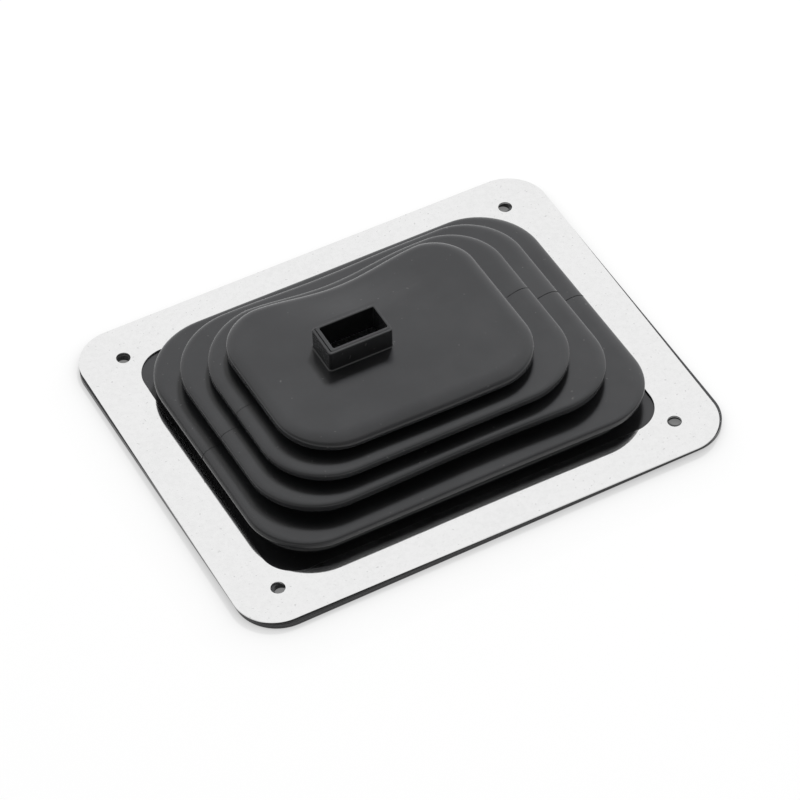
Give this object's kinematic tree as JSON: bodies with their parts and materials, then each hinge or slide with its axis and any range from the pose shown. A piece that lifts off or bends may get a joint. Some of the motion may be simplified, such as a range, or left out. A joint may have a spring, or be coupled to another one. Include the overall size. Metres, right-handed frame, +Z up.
{
  "type": "gear lever gaiter",
  "caption": "Low rubber bellows for a flat gear lever, stepped in rounded lips up to a slotted neck, with a flat flange held down by a screwed metal trim plate.",
  "frame": {"origin": "middle of the box at the flange's underside, where the part lies on the floor or tunnel", "axes": "+X along the long side of the plate, +Z up out of the neck, +Y towards the side that lies farther from the camera in the picture"},
  "size_m": [0.2064, 0.1662, 0.042],
  "materials": {
    "black_rubber": "smooth moulded satin black",
    "bright_metal": "satin bright sheet"
  },
  "bodies": {
    "root": {"rubber_boot": "black_rubber", "trim_plate": "bright_metal"}
  },
  "joints": []
}
